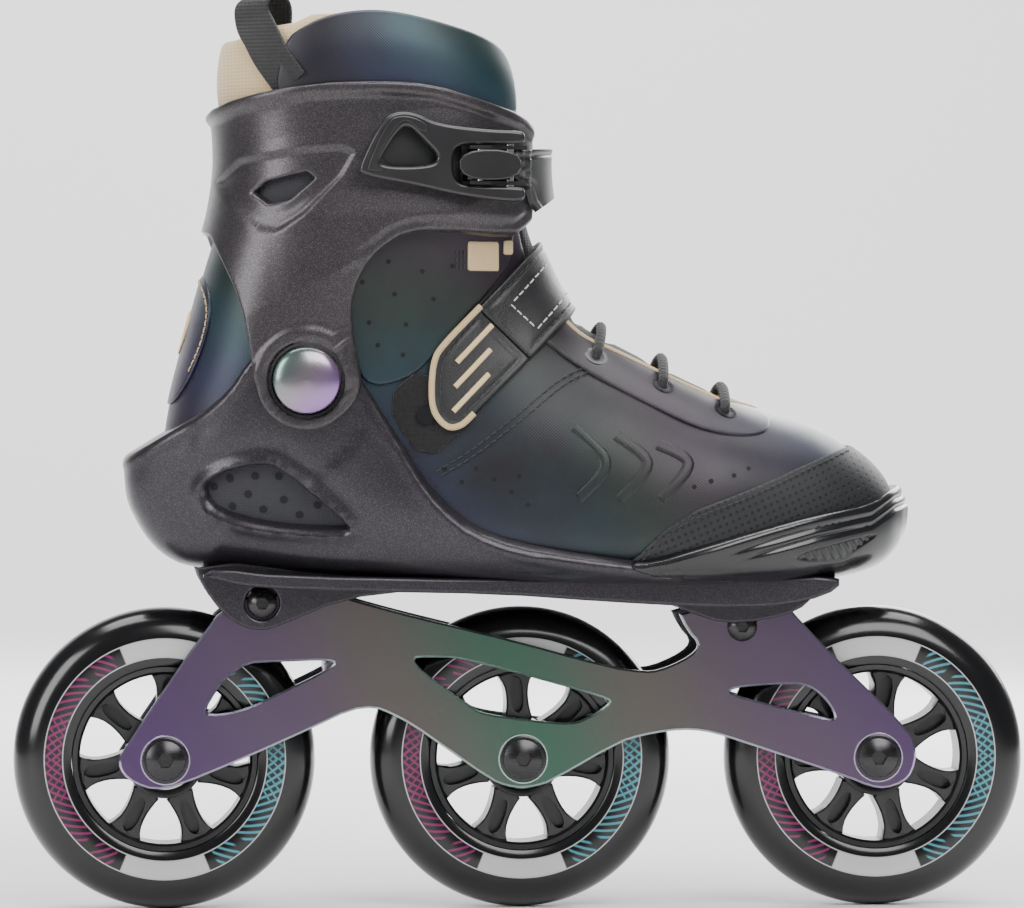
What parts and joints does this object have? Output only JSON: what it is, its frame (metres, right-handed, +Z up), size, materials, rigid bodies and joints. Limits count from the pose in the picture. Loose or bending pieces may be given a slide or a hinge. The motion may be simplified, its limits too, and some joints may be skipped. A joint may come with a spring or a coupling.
{
  "type": "inline skate",
  "caption": "Right inline skate with large wheels in a machined frame, hard shell with pivoting cuff, buckle, instep strap, laces and padded liner.",
  "frame": {"origin": "on the ground under the middle wheel's axle, midway between the frame walls", "axes": "+X towards the toe, +Y towards the inner side of the foot, +Z up; the wheel axles run along Y"},
  "size_m": [0.37, 0.115, 0.3333],
  "materials": {
    "shell_plastic": "satin charcoal with fine metallic fleck",
    "bumper_plastic": "gloss",
    "toe_fabric": "perforated coated fabric",
    "upper_fabric": "iridescent coated fabric",
    "tongue_fabric": "woven",
    "footbed_foam": "woven top foam",
    "patch_fabric": "stitched coated patch",
    "lace_cord": "round braid",
    "dark_metal": "blackened",
    "loop_pile": "hook and loop pile",
    "strap_leather": "fine grain",
    "beige_inlay": "satin",
    "frame_anodised": "colour-shift anodised",
    "axle_steel": "bright",
    "bolt_steel": "dark zinc",
    "bearing_steel": "polished",
    "cuff_plastic": "satin charcoal with fine metallic fleck",
    "cap_pearl": "pearl",
    "bush_plastic": "matte",
    "collar_fabric": "brushed knit",
    "webbing": "woven tape",
    "buckle_plastic": "satin",
    "release_plastic": "satin",
    "spring_steel": "bright",
    "ladder_plastic": "satin",
    "urethane": "gloss urethane",
    "hub_plastic": "satin",
    "shield_metal": "dark"
  },
  "bodies": {
    "chassis": {"shell": "shell_plastic", "toe_bumper": "bumper_plastic", "toe_cap": "toe_fabric", "upper": "upper_fabric", "tongue_base": "tongue_fabric", "footbed": "footbed_foam", "heel_patch": "patch_fabric", "laces": "lace_cord", "eyelets": "dark_metal", "strap_anchor": "loop_pile", "strap_rivets": "dark_metal", "instep_strap": "strap_leather", "frame": "frame_anodised", "wheel_axles": "axle_steel", "axle_bolts": "bolt_steel", "mount_bolts": "bolt_steel", "mount_nuts": "bolt_steel", "bearing_spacers": "axle_steel", "bearing_inner_races": "bearing_steel", "cuff_pivot_bolts": "bolt_steel", "cuff_pivot_caps": "cap_pearl"},
    "cuff": {"cuff": "cuff_plastic", "cuff_pivot_bushes": "bush_plastic", "liner_collar": "collar_fabric", "tongue_top": "tongue_fabric", "pull_loop": "webbing", "buckle_base": "buckle_plastic", "buckle_pin": "axle_steel", "release_pin": "axle_steel", "release_spring": "spring_steel", "ladder_strap": "ladder_plastic", "ladder_rivet": "bolt_steel"},
    "buckle_lever": {"buckle_lever": "buckle_plastic"},
    "release_tab": {"release_tab": "release_plastic"},
    "strap_flap": {"strap_flap": "strap_leather", "strap_inlays": "beige_inlay"},
    "rear_wheel": {"rear_tyre": "urethane", "rear_hub": "hub_plastic", "rear_outer_races": "bearing_steel", "rear_balls": "bearing_steel", "rear_shields": "shield_metal"},
    "middle_wheel": {"middle_tyre": "urethane", "middle_hub": "hub_plastic", "middle_outer_races": "bearing_steel", "middle_balls": "bearing_steel", "middle_shields": "shield_metal"},
    "front_wheel": {"front_tyre": "urethane", "front_hub": "hub_plastic", "front_outer_races": "bearing_steel", "front_balls": "bearing_steel", "front_shields": "shield_metal"}
  },
  "joints": [
    {"name": "cuff_flex", "type": "hinge", "parent": "chassis", "child": "cuff", "pos_m": [-0.08, 0, 0.193], "axis": [0, 1, 0], "range_deg": [-4, 6]},
    {"name": "rear_wheel_spin", "type": "hinge", "parent": "chassis", "child": "rear_wheel", "pos_m": [-0.13, 0, 0.055], "axis": [0, 1, 0], "continuous": true},
    {"name": "middle_wheel_spin", "type": "hinge", "parent": "chassis", "child": "middle_wheel", "pos_m": [0, 0, 0.055], "axis": [0, 1, 0], "continuous": true},
    {"name": "front_wheel_spin", "type": "hinge", "parent": "chassis", "child": "front_wheel", "pos_m": [0.13, 0, 0.055], "axis": [0, 1, 0], "continuous": true},
    {"name": "buckle_lever_open", "type": "hinge", "parent": "cuff", "child": "buckle_lever", "pos_m": [-0.007, -0.0468, 0.268], "axis": [0, 0, 1], "range_deg": [0, 100]},
    {"name": "release_tab_lift", "type": "hinge", "parent": "cuff", "child": "release_tab", "pos_m": [-0.01808, -0.05332, 0.268], "axis": [0, 0, -1], "range_deg": [0, 14], "stiffness_Nm_per_rad": 0.02, "springref_deg": -20.05},
    {"name": "strap_peel", "type": "hinge", "parent": "chassis", "child": "strap_flap", "pos_m": [-0.008, -0.0354, 0.21], "axis": [-0.7188, -0.0516, 0.6933], "range_deg": [0, 70]}
  ]
}
